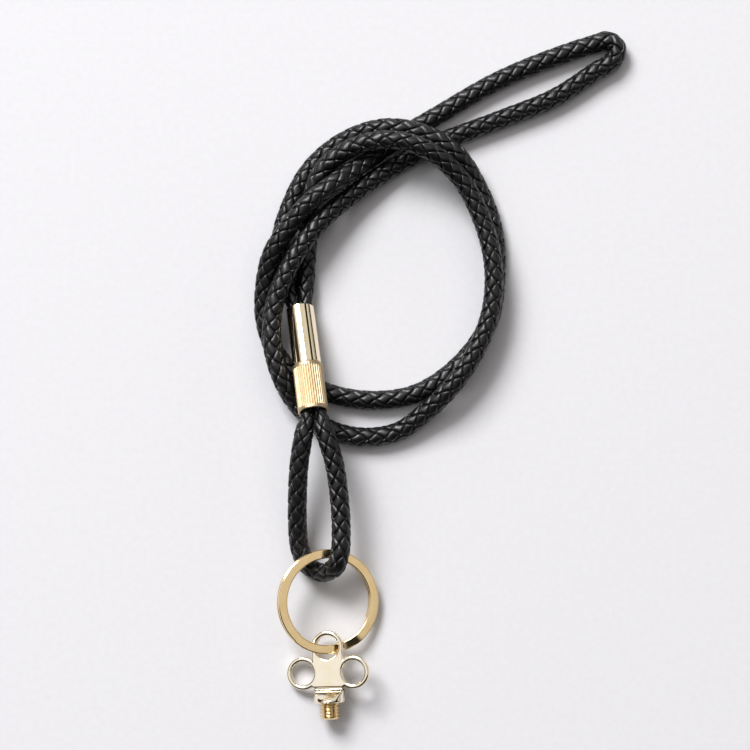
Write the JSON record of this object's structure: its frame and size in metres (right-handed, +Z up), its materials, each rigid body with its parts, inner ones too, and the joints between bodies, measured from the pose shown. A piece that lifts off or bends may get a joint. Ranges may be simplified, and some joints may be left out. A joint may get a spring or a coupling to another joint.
{
  "type": "wristlet keychain",
  "caption": "Wristlet key holder: a braided leather cord, doubled and loosely knotted, with a metal screw ferrule, a short key loop, a split ring and an eyed key plate with a threaded stud.",
  "frame": {"origin": "on the surface it lies on, below the middle of the metal parts' bounding box", "axes": "+Z up from the surface; -Y along the ferrule towards the key ring and the stud; +X to the right, where the wrist end of the cord lies"},
  "size_m": [0.0958, 0.1775, 0.0155],
  "materials": {
    "braided_leather": "semi-gloss, round braided",
    "polished_gold": "mirror polished pale gold plating",
    "fluted_gold": "fluted, satin pale gold plating",
    "inner_brass": "turned",
    "seal_rubber": "matte",
    "washer_steel": "turned",
    "ring_gold": "polished pale gold plating",
    "plate_gold": "mirror polished pale gold plating"
  },
  "bodies": {
    "strap": {"wrist_cord": "braided_leather", "key_cord": "braided_leather", "polished_sleeve": "polished_gold", "threaded_spigot": "inner_brass", "locking_o_ring": "seal_rubber", "key_cup": "inner_brass", "slip_washer": "washer_steel"},
    "collar": {"fluted_collar": "fluted_gold"},
    "ring": {"split_ring": "ring_gold"},
    "charm": {"eye_plate": "plate_gold", "threaded_stud": "plate_gold"}
  },
  "joints": [
    {"name": "collar_twist", "type": "hinge", "parent": "strap", "child": "collar", "pos_m": [-0.0054, 0.0366, 0.00845], "axis": [0.1294, -0.9572, 0.2588], "range_deg": [0, 720]},
    {"name": "ring_swing", "type": "hinge", "parent": "strap", "child": "ring", "pos_m": [0.00024, -0.01109, 0.00708], "axis": [-0.9455, 0, 0.3256], "range_deg": [0, 80]},
    {"name": "charm_swing", "type": "hinge", "parent": "ring", "child": "charm", "pos_m": [-0.00059, -0.03516, 0.00468], "axis": [-0.9111, -0.256, 0.323], "range_deg": [0, 110]}
  ]
}
